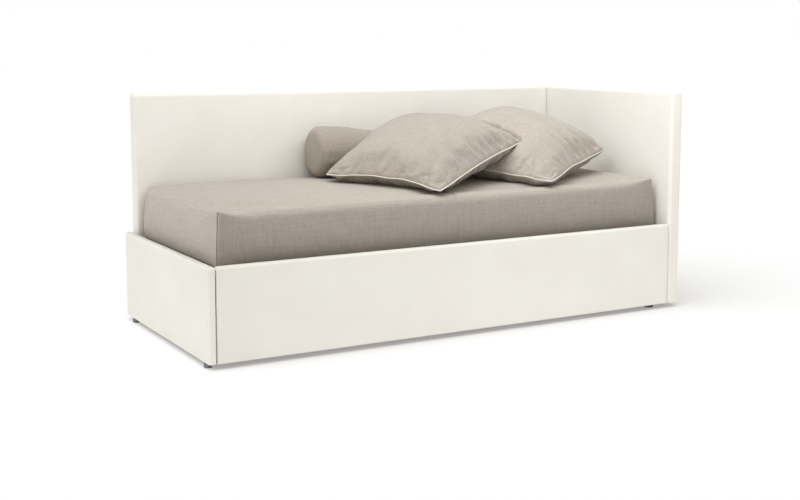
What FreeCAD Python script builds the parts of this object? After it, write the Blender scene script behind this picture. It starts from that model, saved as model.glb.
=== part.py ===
# Corner day bed with a second bed that rolls out from under it.
# Four upholstered panels stand round a slatted base. The front panel belongs to
# the second bed and comes out with it. Millimetres, +Z up, X along the bed with
# the headboard at +X, the open long side at -Y, origin under the middle.
import math
import os

import FreeCAD
import Part

os.makedirs("parts", exist_ok=True)
Vec = FreeCAD.Vector
UP = Vec(0, 0, 1)

# Mattress of the upper bed
MATTRESS_LENGTH = 2000.0
MATTRESS_WIDTH = 800.0
MATTRESS_THICK = 215.0
MATTRESS_BASE = 335.0          # its underside above the floor
MATTRESS_EDGE = 40.0           # rolled top edges and upright corners
MATTRESS_CROWN = 9.0           # rise of the top across the width

# Room between the mattress and the panels round it
FOOT_ROOM = 13.0
HEAD_ROOM = 15.0
FRONT_ROOM = 38.0
BACK_ROOM = 5.0

# Upholstered panels: board, foam padding, leatherette cover
FOOT_THICK = 30.0
FRONT_THICK = 30.0
HEAD_THICK = 62.0
BACK_THICK = 62.0
RIM_HEIGHT = 360.0
BACK_HEIGHT = 920.0
FLOOR_GAP = 20.0
THIN_COVER = 5.0               # leatherette quilted to wadding
THICK_COVER = 7.0
THIN_FOAM = 2.0                # foam sheet on each face of a board
THICK_FOAM = 5.5
THIN_EDGE = 11.0               # edge roundings of the thin and the thick panels
THICK_EDGE = 16.0
FRONT_PANEL_GAP = 4.0          # running gap at each end of the front panel
PANEL_JOINT = 0.5              # between the back panel and the two end panels
FLAP_THICK = 8.0               # closing flap of the headboard cover
FLAP_HEIGHT = 93.0
FLAP_EDGE = 3.5

# Steel tube frames
TUBE_WALL = 2.0
TUBE_EDGE = 2.0
RAIL_WIDTH = 30.0
RAIL_HEIGHT = 40.0
CROSS_HEIGHT = 30.0
RAIL_FRONT_ROOM = 9.5          # upper frame behind the front panel
RAIL_FIT = 0.5
CAP_PLATE = 2.5
CAP_PLUG = 12.0
CAP_FIT = 0.3
TRUNDLE_RAIL_HEIGHT = 30.0
TRUNDLE_END_WIDTH = 40.0

# Sprung slats and their plastic holders
SLAT_COUNT = 13
SLAT_WIDTH = 68.0
SLAT_THICK = 8.0
SLAT_RISE = 12.0
SLAT_PLAY = 0.4
SLAT_END_MARGIN = 70.0         # from a frame's end to its first slat's middle
HOLDER_HEIGHT = 24.0
HOLDER_REACH = 46.0
HOLDER_WALL = 4.0
HOLDER_CHAMFER = 6.0

# Angle brackets and bolts
BRACKET_THICK = 5.0
BRACKET_WIDTH = 80.0
BRACKET_DROP = 66.0
BRACKET_BEND = 4.0
BOLT_SPACING = 46.0
BOLT_LEVEL = 40.0              # of a panel's bolts, below the rail's underside
PANEL_BOLT_LEVEL = 25.0
BOLT_HEAD_WIDTH = 13.0
BOLT_HEAD_HEIGHT = 5.3
END_BRACKET_SPREAD = 500.0     # between the two brackets on an end panel
BACK_BRACKET_SPREAD = 1400.0   # between the outer two of three on the back panel
CORNER_PLATE = 3.0
CORNER_SHORT_LEAF = 30.0
CORNER_LONG_LEAF = 60.0
CORNER_HEIGHT = 90.0
CORNER_BASE = 110.0

# Legs and feet
LEG_RADIUS = 19.0
LEG_HEAD_INSET = 55.0          # from the headboard's inner face to a leg's middle
LEG_FLANGE_LENGTH = 76.0
LEG_FLANGE_THICK = 4.0
GLIDE_RADIUS = 20.0
GLIDE_HEIGHT = 14.0
GLIDE_CHAMFER = 2.0
FOOT_RADIUS = 14.5

# Second bed: frame, casters, mattress
TRUNDLE_FOOT_ROOM = 30.0       # from the second bed's frame to the panels and legs round it
TRUNDLE_FRONT_ROOM = 10.0
TRUNDLE_BACK_ROOM = 33.0
TRUNDLE_LEG_ROOM = 5.0
TRUNDLE_HEADROOM = 12.7        # from its mattress to the bolt heads above
TRUNDLE_EDGE = 26.0
PANEL_BRACKET_DROP = 42.0
PANEL_BRACKET_SPREAD = 1400.0
BUFFER_RADIUS = 12.0
BUFFER_GAP = 0.5
BUFFER_INSET = 300.0
CASTER_HEIGHT = 66.0
CASTER_INSET = 80.0
WHEEL_RADIUS = 25.0
WHEEL_WIDTH = 18.0
AXLE_RADIUS = 4.0
AXLE_PROUD = 1.5
WHEEL_FIT = 0.08
AXLE_FIT = 0.05
FORK_PLATE = 3.0
FORK_PLATE_LENGTH = 62.0
FORK_CHEEK = 2.5
FORK_CHEEK_TOP = 40.0
FORK_CHEEK_END = 18.0
FORK_CHEEK_BELOW = 8.0         # a cheek's end below the axle
FORK_PLAY = 1.0                # between a wheel's side and each cheek

# Loose bolster and cushions
SOFT_GAP = 0.4                 # between a soft piece and what it lies on
BOLSTER_RADIUS = 104.0
BOLSTER_LENGTH = 560.0
BOLSTER_END_ROUND = 34.0
BOLSTER_SINK = 2.0             # pressed flat by this much where it lies
BOLSTER_FROM_HEAD = 1295.0     # its foot end from the mattress's head end
BOLSTER_DENT_LENGTH = 1500.0   # the way it slides under the cushion, kept clear
BOLSTER_DENT_ROOM = 11.0       # and the room round it in the cushion
CUSHION_DRAW = 12.0            # how far each side draws in between the corners
CUSHION_TIP = 3.0              # the drawn-in curve runs out this far past a corner
CUSHION_HALF_THICK = 130.0
CUSHION_CROWN = 36.0           # rise of the crown above its shoulders
CUSHION_ROLL = 110.0           # width of the steep roll along the seam
CUSHION_LIFT = 300.0           # height kept clear over the lower cushion
CUSHION_LIFT_DROP = 26.0       # from this far under the upper one's seam, below its upright sides
CUSHION_LIFT_ROOM = 9.0        # and this far round it, because it lies askew
FRONT_CUSHION_SIDE = 598.0
FRONT_CUSHION_FROM_HEAD = 918.0     # its middle from the mattress's head end, back and top
FRONT_CUSHION_FROM_BACK = 418.0
FRONT_CUSHION_RISE = 104.0
FRONT_CUSHION_TURN = (-67.5, 4.3, 15.5)    # yaw, pitch, roll in degrees
CORNER_CUSHION_SIDE = 598.0
CORNER_CUSHION_FROM_HEAD = 447.0
CORNER_CUSHION_FROM_BACK = 398.0
CORNER_CUSHION_RISE = 105.0
CORNER_CUSHION_TURN = (-59.5, 9.0, 9.2)

# Faces of the panels, worked out across the bed from one outer face to the other
total_length = FOOT_THICK + FOOT_ROOM + MATTRESS_LENGTH + HEAD_ROOM + HEAD_THICK + FLAP_THICK
total_depth = FRONT_THICK + FRONT_ROOM + MATTRESS_WIDTH + BACK_ROOM + BACK_THICK
foot_outer = -total_length / 2
foot_inner = foot_outer + FOOT_THICK
mattress_foot = foot_inner + FOOT_ROOM
mattress_head = mattress_foot + MATTRESS_LENGTH
head_inner = mattress_head + HEAD_ROOM
head_outer = head_inner + HEAD_THICK
front_outer = -total_depth / 2
front_inner = front_outer + FRONT_THICK
mattress_front = front_inner + FRONT_ROOM
mattress_back = mattress_front + MATTRESS_WIDTH
back_inner = mattress_back + BACK_ROOM
back_outer = back_inner + BACK_THICK
mattress_top = MATTRESS_BASE + MATTRESS_THICK

# Levels and rail faces of the upper frame
rail_top = MATTRESS_BASE - SLAT_RISE - SLAT_THICK / 2 - HOLDER_HEIGHT / 2
rail_bottom = rail_top - RAIL_HEIGHT
front_rail_outer = front_inner + RAIL_FRONT_ROOM
front_rail_inner = front_rail_outer + RAIL_WIDTH
back_rail_outer = back_inner - BRACKET_THICK - RAIL_FIT
back_rail_inner = back_rail_outer - RAIL_WIDTH

# Levels and rail faces of the second bed
trundle_bottom = CASTER_HEIGHT
trundle_rail_top = trundle_bottom + TRUNDLE_RAIL_HEIGHT
trundle_base = trundle_rail_top + HOLDER_HEIGHT / 2 + SLAT_THICK / 2 + SLAT_RISE
trundle_top = rail_bottom - BRACKET_THICK - BOLT_HEAD_HEIGHT - TRUNDLE_HEADROOM
leg_x = head_inner - LEG_HEAD_INSET
trundle_foot = foot_inner + TRUNDLE_FOOT_ROOM
trundle_head = leg_x - LEG_FLANGE_LENGTH / 2 - TRUNDLE_LEG_ROOM
trundle_front = front_inner + TRUNDLE_FRONT_ROOM
trundle_back = back_inner - TRUNDLE_BACK_ROOM


def block(x0, x1, y0, y1, z0, z1):
    return Part.makeBox(x1 - x0, y1 - y0, z1 - z0, Vec(x0, y0, z0))


def export(name, *shapes):
    shape = shapes[0] if len(shapes) == 1 else Part.makeCompound(list(shapes))
    shape.exportStep("parts/" + name + ".step")


def prism(points, direction):
    """Closed outline of straight sides, pushed along a direction."""
    return Part.Face(Part.makePolygon(points + points[:1])).extrude(direction)


# Panels


def rounded_slab(x0, x1, y0, y1, z0, z1, radius):
    """Slab with its upright and top edges rounded and its bottom edges square."""
    slab = block(x0, x1, y0, y1, z0, z1)
    edges = [edge for edge in slab.Edges if edge.BoundBox.ZMax > z0 + 1.0]
    return slab.makeFillet(radius, edges)


def panel(name, x0, x1, y0, y1, top, skin, foam, edge):
    """A board between two foam sheets, in a padded sleeve that is open at the bottom."""
    low = FLOOR_GAP
    outer = rounded_slab(x0, x1, y0, y1, low, top, edge)
    core = block(x0 + skin, x1 - skin, y0 + skin, y1 - skin, low, top - skin)
    across_x = x1 - x0 < y1 - y0
    dx, dy = (foam, 0) if across_x else (0, foam)
    board = block(x0 + skin + dx, x1 - skin - dx, y0 + skin + dy, y1 - skin - dy, low, top - skin)
    export(name + "_board", board)
    export(name + "_padding", *core.cut(board).Solids)
    export(name + "_cover", outer.cut(core))


thin = (THIN_COVER, THIN_FOAM, THIN_EDGE)
thick = (THICK_COVER, THICK_FOAM, THICK_EDGE)
panel("foot_panel", foot_outer, foot_inner, front_outer, back_outer, RIM_HEIGHT, *thin)
panel("headboard", head_inner, head_outer, front_outer, back_outer, BACK_HEIGHT, *thick)
panel("back_panel", foot_inner + PANEL_JOINT, head_inner - PANEL_JOINT, back_inner, back_outer, BACK_HEIGHT, *thick)
panel("front_panel", foot_inner + FRONT_PANEL_GAP, head_inner - FRONT_PANEL_GAP, front_outer, front_inner,
      RIM_HEIGHT, *thin)

# Closing flap along the bottom of the headboard's outer face
flap = block(head_outer, head_outer + FLAP_THICK, front_outer + THICK_EDGE, back_outer - THICK_EDGE,
             FLOOR_GAP, FLOOR_GAP + FLAP_HEIGHT)
flap_rim = [edge for edge in flap.Edges if edge.BoundBox.XMin > head_outer + FLAP_THICK / 2]
export("headboard_flap", flap.makeFillet(FLAP_EDGE, flap_rim))

# Angle brackets, each with the heads of the bolts that go through it


def bolt_head(seat, outward):
    """Hexagon head standing on a bracket's face."""
    corner = BOLT_HEAD_WIDTH / math.sqrt(3)
    angles = [math.radians(60 * k) for k in range(6)]
    rim = [Vec(corner * math.cos(a), corner * math.sin(a), 0) for a in angles]
    head = prism(rim, UP * BOLT_HEAD_HEIGHT)
    head.Placement = FreeCAD.Placement(seat, FreeCAD.Rotation(UP, outward))
    return head


def angle_bracket(origin, inward, drop, reach, bolt_level):
    """Bent angle: one leaf hangs on a panel's face, the other runs under a rail.

    The origin is on the panel's face, at the level of the rail's underside.
    """
    along = UP.cross(inward)
    t = BRACKET_THICK
    outline = [(0, 0), (0, -drop), (t, -drop), (t, -t), (reach, -t), (reach, 0)]
    start = origin - along * (BRACKET_WIDTH / 2)
    angle = prism([start + inward * u + UP * w for u, w in outline], along * BRACKET_WIDTH)
    inside = Part.makeLine(start + inward * t - UP * t, start + inward * t - UP * t + along * BRACKET_WIDTH)
    bend = [edge for edge in angle.Edges if edge.CenterOfMass.distanceToPoint(inside.CenterOfMass) < 0.01]
    angle = angle.makeFillet(BRACKET_BEND, bend)
    for side in (-0.5, 0.5):
        seat = origin + along * (side * BOLT_SPACING) + inward * t - UP * bolt_level
        angle = angle.fuse(bolt_head(seat, inward))
    return angle.fuse(bolt_head(origin + inward * (reach - RAIL_WIDTH / 2) - UP * t, UP * -1))


def corner_bracket(corner, toward_middle):
    """Angle plate in the inside corner of the back panel and an end panel."""
    t = CORNER_PLATE
    outline = [(0, 0), (CORNER_SHORT_LEAF, 0), (CORNER_SHORT_LEAF, t), (t, t), (t, CORNER_LONG_LEAF),
               (0, CORNER_LONG_LEAF)]
    points = [corner + toward_middle * u + toward_front * v for u, v in outline]
    plate = prism(points, UP * CORNER_HEIGHT)
    middle = corner + UP * (CORNER_HEIGHT / 2)
    on_back = middle + toward_middle * (t + CORNER_SHORT_LEAF) * 0.5 + toward_front * t
    on_end = middle + toward_front * (t + CORNER_LONG_LEAF) * 0.5 + toward_middle * t
    return plate.fuse(bolt_head(on_back, toward_front)).fuse(bolt_head(on_end, toward_middle))


toward_head, toward_foot = Vec(1, 0, 0), Vec(-1, 0, 0)
toward_back, toward_front = Vec(0, 1, 0), Vec(0, -1, 0)
frame_middle_x = (mattress_foot + mattress_head) / 2
frame_middle_y = (front_rail_outer + back_rail_outer) / 2
trundle_middle_x = (trundle_foot + trundle_head) / 2
foot_brackets, head_brackets, back_brackets, panel_brackets = [], [], [], []
for side in (-0.5, 0.5):
    y = frame_middle_y + side * END_BRACKET_SPREAD
    foot_brackets.append(angle_bracket(Vec(foot_inner, y, rail_bottom), toward_head, BRACKET_DROP,
                                       FOOT_ROOM + RAIL_WIDTH, BOLT_LEVEL))
    head_brackets.append(angle_bracket(Vec(head_inner, y, rail_bottom), toward_foot, BRACKET_DROP,
                                       HEAD_ROOM + RAIL_WIDTH, BOLT_LEVEL))
for side in (-0.5, 0.0, 0.5):
    x = frame_middle_x + side * BACK_BRACKET_SPREAD
    back_brackets.append(angle_bracket(Vec(x, back_inner, rail_bottom), toward_front, BRACKET_DROP,
                                       BRACKET_THICK + RAIL_FIT + RAIL_WIDTH, BOLT_LEVEL))
    x = trundle_middle_x + side * PANEL_BRACKET_SPREAD
    panel_brackets.append(angle_bracket(Vec(x, front_inner, trundle_bottom), toward_back, PANEL_BRACKET_DROP,
                                        TRUNDLE_FRONT_ROOM + RAIL_WIDTH, PANEL_BOLT_LEVEL))
export("foot_brackets", *foot_brackets)
export("head_brackets", *head_brackets)
export("back_brackets", *back_brackets)
export("front_panel_brackets", *panel_brackets)
export("corner_brackets", corner_bracket(Vec(foot_inner, back_inner, CORNER_BASE), toward_head),
       corner_bracket(Vec(head_inner, back_inner, CORNER_BASE), toward_foot))

# Feet under the foot panel


def turned(profile, origin, direction):
    """Outline of radius and height pairs, turned into a solid of revolution."""
    points = [Vec(radius, 0, height) for radius, height in profile]
    solid = Part.Face(Part.makePolygon(points + points[:1])).revolve(Vec(0, 0, 0), UP, 360)
    solid.Placement = FreeCAD.Placement(origin, FreeCAD.Rotation(UP, direction))
    return solid


def glide(x, y, radius, height):
    """Plastic disc on the floor with a chamfered lower edge."""
    c = GLIDE_CHAMFER
    return turned([(0, 0), (radius - c, 0), (radius, c), (radius, height), (0, height)], Vec(x, y, 0), UP)


foot_middle = (foot_outer + foot_inner) / 2
leg_rows = ((front_rail_outer + front_rail_inner) / 2, (back_rail_outer + back_rail_inner) / 2)
export("foot_panel_feet", *[glide(foot_middle, y, FOOT_RADIUS, FLOOR_GAP) for y in leg_rows])

# Tube frames, slats and slat holders


def tube(x0, x1, y0, y1, z0, z1, run):
    """Rectangular steel tube along a direction, its long edges eased, open at both ends."""
    bar = block(x0, x1, y0, y1, z0, z1)
    long_edges = [edge for edge in bar.Edges if abs(edge.tangentAt(edge.FirstParameter).dot(run)) > 0.9]
    wall = Vec(TUBE_WALL, TUBE_WALL, TUBE_WALL) - run * (TUBE_WALL * 2)
    bore = block(x0 + wall.x, x1 - wall.x, y0 + wall.y, y1 - wall.y, z0 + wall.z, z1 - wall.z)
    return bar.makeChamfer(TUBE_EDGE, long_edges).cut(bore)


def end_cap(x, y0, y1, z0, z1, inward):
    """Plastic plug in a rail's open end, with a plate over the end."""
    w = TUBE_WALL + CAP_FIT
    e = TUBE_EDGE
    plate = block(min(x, x - inward * CAP_PLATE), max(x, x - inward * CAP_PLATE), y0 + e, y1 - e, z0 + e, z1 - e)
    plug = block(min(x, x + inward * CAP_PLUG), max(x, x + inward * CAP_PLUG), y0 + w, y1 - w, z0 + w, z1 - w)
    return plate.fuse(plug)


def slat_body(x, y0, y1, crown):
    """Wooden slat across the bed, bowed upwards."""
    middle = (y0 + y1) / 2
    low, high = crown - SLAT_THICK, crown
    under = Part.Arc(Vec(0, y0, low - SLAT_RISE), Vec(0, middle, low), Vec(0, y1, low - SLAT_RISE)).toShape()
    over = Part.Arc(Vec(0, y0, high - SLAT_RISE), Vec(0, middle, high), Vec(0, y1, high - SLAT_RISE)).toShape()
    ends = [Part.makeLine(Vec(0, y, low - SLAT_RISE), Vec(0, y, high - SLAT_RISE)) for y in (y0, y1)]
    face = Part.Face(Part.Wire(Part.__sortEdges__([under, over] + ends)))
    solid = face.extrude(Vec(SLAT_WIDTH, 0, 0))
    solid.translate(Vec(x - SLAT_WIDTH / 2, 0, 0))
    return solid


def slat_holder(x, y, top, inward, span):
    """Plastic socket on a rail's top; its pocket slopes as the end of the slat does."""
    h, r, c = HOLDER_HEIGHT, HOLDER_REACH, HOLDER_CHAMFER
    outline = [(0, 0), (r, 0), (r, h - c / 2), (r - c, h), (c, h), (0, h - c)]
    half = SLAT_WIDTH / 2 + SLAT_PLAY + HOLDER_WALL
    body = prism([Vec(x - half, y + inward * u, top + w) for u, w in outline], Vec(2 * half, 0, 0))
    slope = 4 * SLAT_RISE / span
    low, high = (h - SLAT_THICK) / 2 - SLAT_PLAY, (h + SLAT_THICK) / 2 + SLAT_PLAY
    depth = r - HOLDER_WALL + 1
    pocket = [(HOLDER_WALL, low), (HOLDER_WALL + depth, low + slope * depth),
              (HOLDER_WALL + depth, high + slope * depth), (HOLDER_WALL, high)]
    width = SLAT_WIDTH + 2 * SLAT_PLAY
    return body.cut(prism([Vec(x - width / 2, y + inward * u, top + w) for u, w in pocket], Vec(width, 0, 0)))


def slat_bed(foot, head, front, back, top):
    """Slats between two long rails, with their front and back holders."""
    step = (head - foot - 2 * SLAT_END_MARGIN) / (SLAT_COUNT - 1)
    y0, y1 = front + HOLDER_WALL + SLAT_PLAY, back - HOLDER_WALL - SLAT_PLAY
    crown = top + HOLDER_HEIGHT / 2 + SLAT_THICK / 2 + SLAT_RISE
    columns = [foot + SLAT_END_MARGIN + k * step for k in range(SLAT_COUNT)]
    slats = [slat_body(x, y0, y1, crown) for x in columns]
    fronts = [slat_holder(x, front, top, 1, y1 - y0) for x in columns]
    backs = [slat_holder(x, back, top, -1, y1 - y0) for x in columns]
    return slats, fronts, backs


# Upper frame
slats, front_holders, back_holders = slat_bed(mattress_foot, mattress_head, front_rail_outer, back_rail_outer,
                                              rail_top)
export("main_slats", *slats)
export("main_front_slat_holders", *front_holders)
export("main_back_slat_holders", *back_holders)
low, high = rail_bottom, rail_top
export("main_front_rail", tube(mattress_foot, mattress_head, front_rail_outer, front_rail_inner, low, high,
                               toward_head))
export("main_back_rail", tube(mattress_foot, mattress_head, back_rail_inner, back_rail_outer, low, high,
                              toward_head))
export("main_foot_rail", tube(mattress_foot, mattress_foot + RAIL_WIDTH, front_rail_inner, back_rail_inner, low, high,
                              toward_back))
export("main_head_rail", tube(mattress_head - RAIL_WIDTH, mattress_head, front_rail_inner, back_rail_inner, low, high,
                              toward_back))


def cross_rails(foot, length, front, back, low, high):
    """Two tubes across a frame, at its thirds."""
    middles = [foot + share * length / 3 for share in (1, 2)]
    return [tube(x - RAIL_WIDTH / 2, x + RAIL_WIDTH / 2, front, back, low, high, toward_back) for x in middles]


export("main_cross_rails", *cross_rails(mattress_foot, MATTRESS_LENGTH, front_rail_inner, back_rail_inner, low,
                                        low + CROSS_HEIGHT))
caps = []
for y0, y1 in ((front_rail_outer, front_rail_inner), (back_rail_inner, back_rail_outer)):
    caps.append(end_cap(mattress_foot, y0, y1, low, high, 1))
    caps.append(end_cap(mattress_head, y0, y1, low, high, -1))
export("main_rail_caps", *caps)

# Legs at the headboard end, under the long rails
legs = []
for y in leg_rows:
    length = rail_bottom - GLIDE_HEIGHT
    pipe = Part.makeCylinder(LEG_RADIUS, length, Vec(leg_x, y, GLIDE_HEIGHT))
    bore = Part.makeCylinder(LEG_RADIUS - TUBE_WALL, length - LEG_FLANGE_THICK, Vec(leg_x, y, GLIDE_HEIGHT))
    flange = block(leg_x - LEG_FLANGE_LENGTH / 2, leg_x + LEG_FLANGE_LENGTH / 2, y - RAIL_WIDTH / 2,
                   y + RAIL_WIDTH / 2, rail_bottom - LEG_FLANGE_THICK, rail_bottom)
    legs.append(pipe.fuse(flange).cut(bore))
export("head_legs", *legs)
export("leg_glides", *[glide(leg_x, y, GLIDE_RADIUS, GLIDE_HEIGHT) for y in leg_rows])

# Frame of the second bed
slats, front_holders, back_holders = slat_bed(trundle_foot, trundle_head, trundle_front, trundle_back,
                                              trundle_rail_top)
export("trundle_slats", *slats)
export("trundle_front_slat_holders", *front_holders)
export("trundle_back_slat_holders", *back_holders)
low, high = trundle_bottom, trundle_rail_top
inner_front, inner_back = trundle_front + RAIL_WIDTH, trundle_back - RAIL_WIDTH
export("trundle_front_rail", tube(trundle_foot, trundle_head, trundle_front, inner_front, low, high, toward_head))
export("trundle_back_rail", tube(trundle_foot, trundle_head, inner_back, trundle_back, low, high, toward_head))
export("trundle_foot_rail", tube(trundle_foot, trundle_foot + TRUNDLE_END_WIDTH, inner_front, inner_back, low, high,
                                 toward_back))
export("trundle_head_rail", tube(trundle_head - TRUNDLE_END_WIDTH, trundle_head, inner_front, inner_back, low, high,
                                 toward_back))
export("trundle_cross_rails", *cross_rails(trundle_foot, trundle_head - trundle_foot, inner_front, inner_back, low,
                                           high))
caps = []
for y0, y1 in ((trundle_front, inner_front), (inner_back, trundle_back)):
    caps.append(end_cap(trundle_foot, y0, y1, low, high, 1))
    caps.append(end_cap(trundle_head, y0, y1, low, high, -1))
export("trundle_rail_caps", *caps)
buffers = []
for x in (trundle_foot + BUFFER_INSET, trundle_head - BUFFER_INSET):
    length = back_inner - BUFFER_GAP - trundle_back
    buffers.append(Part.makeCylinder(BUFFER_RADIUS, length, Vec(x, trundle_back, (low + high) / 2), toward_back))
export("trundle_buffers", *buffers)

# Casters under the end rails: a bent steel fork, an axle pin, a dished wheel
cheek_inner = WHEEL_WIDTH / 2 + FORK_PLAY
cheek_outer = cheek_inner + FORK_CHEEK


def axle_bar(x, y, radius, half):
    """Round bar along X, centred on a wheel."""
    return Part.makeCylinder(radius, 2 * half, Vec(x - half, y, WHEEL_RADIUS), toward_head)


def caster_fork(x, y):
    """Top plate with two cheeks that taper down past the axle."""
    top = CASTER_HEIGHT - FORK_PLATE
    fork = block(x - cheek_outer, x + cheek_outer, y - FORK_PLATE_LENGTH / 2, y + FORK_PLATE_LENGTH / 2,
                 top, CASTER_HEIGHT)
    wide, narrow, low = FORK_CHEEK_TOP / 2, FORK_CHEEK_END / 2, WHEEL_RADIUS - FORK_CHEEK_BELOW
    outline = [(-wide, top), (wide, top), (narrow, low), (-narrow, low)]
    for start in (x - cheek_outer, x + cheek_inner):
        fork = fork.fuse(prism([Vec(start, y + v, z) for v, z in outline], Vec(FORK_CHEEK, 0, 0)))
    return fork.cut(axle_bar(x, y, AXLE_RADIUS + AXLE_FIT, cheek_outer)).removeSplitter()


def caster_wheel(x, y):
    """Moulded disc that turns on the axle."""
    half = WHEEL_WIDTH / 2
    return axle_bar(x, y, WHEEL_RADIUS, half).cut(axle_bar(x, y, AXLE_RADIUS + WHEEL_FIT, half))


forks, axles = [], []
caster_columns = (("foot", trundle_foot + TRUNDLE_END_WIDTH / 2), ("head", trundle_head - TRUNDLE_END_WIDTH / 2))
caster_rows = (("front", trundle_front + CASTER_INSET), ("back", trundle_back - CASTER_INSET))
for column, x in caster_columns:
    for row, y in caster_rows:
        forks.append(caster_fork(x, y))
        axles.append(axle_bar(x, y, AXLE_RADIUS, cheek_outer + AXLE_PROUD))
        export("wheel_" + row + "_" + column, caster_wheel(x, y))
export("caster_forks", *forks)
export("caster_axles", *axles)

# Mattresses: upright sides, a low crown across the bed, rolled top edges and corners


def mattress(x0, x1, y0, y1, base, thick, edge):
    top = base + thick
    side = top - MATTRESS_CROWN
    middle = (y0 + y1) / 2
    edges = [Part.makeLine(Vec(x0, y0, side), Vec(x0, y0, base)), Part.makeLine(Vec(x0, y0, base), Vec(x0, y1, base)),
             Part.makeLine(Vec(x0, y1, base), Vec(x0, y1, side)),
             Part.Arc(Vec(x0, y1, side), Vec(x0, middle, top), Vec(x0, y0, side)).toShape()]
    solid = Part.Face(Part.Wire(edges)).extrude(Vec(x1 - x0, 0, 0))
    rolled = [edge_line for edge_line in solid.Edges if edge_line.BoundBox.ZMax > base + thick / 2]
    return solid.makeFillet(edge, rolled)


main_mattress = mattress(mattress_foot, mattress_head, mattress_front, mattress_back, MATTRESS_BASE, MATTRESS_THICK,
                         MATTRESS_EDGE)
export("main_mattress", main_mattress)
export("trundle_mattress", mattress(trundle_foot, trundle_head, trundle_front, trundle_back, trundle_base,
                                    trundle_top - trundle_base, TRUNDLE_EDGE))

# Bolster along the back panel, pressed flat where it lies on the mattress
bolster_foot = mattress_head - BOLSTER_FROM_HEAD
bolster_y = back_inner - SOFT_GAP - BOLSTER_RADIUS
crown_radius = ((MATTRESS_WIDTH / 2) ** 2 + MATTRESS_CROWN ** 2) / (2 * MATTRESS_CROWN)
off_middle = bolster_y - (mattress_front + mattress_back) / 2
bolster_bed = mattress_top - crown_radius + math.sqrt(crown_radius ** 2 - off_middle ** 2)
bolster_z = bolster_bed + SOFT_GAP + BOLSTER_RADIUS - BOLSTER_SINK


def bolster_solid():
    """Roll with softly crowned ends, turned from a profile that follows the end rounding."""
    r, length, e = BOLSTER_RADIUS, BOLSTER_LENGTH, BOLSTER_END_ROUND
    middle = math.radians(45)
    end = [(0, 0), (r - e, 0), (r - e + e * math.sin(middle), e * (1 - math.cos(middle))), (r, e)]
    profile = end + [(radius, length - height) for radius, height in reversed(end)]
    return turned(profile, Vec(bolster_foot, bolster_y, bolster_z), toward_head)


under_bolster = block(-MATTRESS_LENGTH, MATTRESS_LENGTH, -BOLSTER_RADIUS, BOLSTER_RADIUS, -BOLSTER_RADIUS, 0)
crown_slope = math.degrees(math.asin(off_middle / crown_radius))
under_bolster.Placement = FreeCAD.Placement(Vec(0, bolster_y, bolster_bed + SOFT_GAP),
                                            FreeCAD.Rotation(toward_head, -crown_slope))
bolster = bolster_solid().cut(under_bolster)
export("bolster", bolster)
under_cushions = block(mattress_foot, mattress_head, 2 * mattress_front, 2 * mattress_back, MATTRESS_BASE,
                       mattress_top + SOFT_GAP)

# Square cushions: two crossed pillow profiles, with the sides drawn in between the corners


def pillow_profile(half):
    """Outline across a cushion: a steep roll up from the seam, then a flat crown, above and below."""
    shoulder, rise = half - CUSHION_ROLL, CUSHION_HALF_THICK - CUSHION_CROWN
    crown_radius = (shoulder ** 2 + CUSHION_CROWN ** 2) / (2 * CUSHION_CROWN)
    chord_slope = math.atan2(rise, CUSHION_ROLL)
    turn = chord_slope - math.asin(shoulder / crown_radius)
    sag = math.hypot(rise, CUSHION_ROLL) / 2 * math.tan(turn / 2)
    roll_x = half - CUSHION_ROLL / 2 + sag * math.sin(chord_slope)
    roll_z = rise / 2 + sag * math.cos(chord_slope)
    edges = []
    for up in (1, -1):
        for way in (1, -1):
            edges.append(Part.Arc(Vec(way * half, 0, 0), Vec(way * roll_x, 0, up * roll_z),
                                  Vec(way * shoulder, 0, up * rise)).toShape())
        edges.append(Part.Arc(Vec(shoulder, 0, up * rise), Vec(0, 0, up * CUSHION_HALF_THICK),
                              Vec(-shoulder, 0, up * rise)).toShape())
    return Part.Face(Part.Wire(Part.__sortEdges__(edges)))


def laid(shape, place, turn):
    """Puts a cushion's shape where it lies."""
    shape.Placement = FreeCAD.Placement(place, FreeCAD.Rotation(*turn))
    return shape


def side_cutters(half):
    """Four upright drums whose rims bite into the sides between the corners."""
    reach = half + CUSHION_TIP
    drum = (reach ** 2 + CUSHION_DRAW ** 2) / (2 * CUSHION_DRAW)
    away = half - CUSHION_DRAW + drum
    low = Vec(0, 0, -CUSHION_HALF_THICK)
    return [Part.makeCylinder(drum, 2 * CUSHION_HALF_THICK, low + way * away)
            for way in (toward_head, toward_foot, toward_back, toward_front)]


def cushion(side, place, turn):
    half = side / 2
    along = pillow_profile(half).extrude(Vec(0, side, 0))
    along.translate(Vec(0, -half, 0))
    across = along.copy()
    across.rotate(Vec(0, 0, 0), UP, 90)
    return laid(along.common(across).cut(Part.makeCompound(side_cutters(half))), place, turn)


front_place = Vec(mattress_head - FRONT_CUSHION_FROM_HEAD, mattress_back - FRONT_CUSHION_FROM_BACK,
                  mattress_top + FRONT_CUSHION_RISE)
corner_place = Vec(mattress_head - CORNER_CUSHION_FROM_HEAD, mattress_back - CORNER_CUSHION_FROM_BACK,
                   mattress_top + CORNER_CUSHION_RISE)
dent_end = bolster_foot + BOLSTER_LENGTH + SOFT_GAP
dent_radius = BOLSTER_RADIUS + BOLSTER_DENT_ROOM
bolster_dent = Part.makeCylinder(dent_radius, BOLSTER_DENT_LENGTH, Vec(dent_end, bolster_y, bolster_z), toward_foot)
under_dent = block(dent_end - BOLSTER_DENT_LENGTH, dent_end, bolster_y - dent_radius, back_inner, MATTRESS_BASE,
                   bolster_z)
bolster_clear = bolster_dent.fuse(under_dent)
front_cushion = cushion(FRONT_CUSHION_SIDE, front_place, FRONT_CUSHION_TURN)
front_cushion = front_cushion.cut(under_cushions).cut(bolster_clear)
export("front_cushion", front_cushion)

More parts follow.
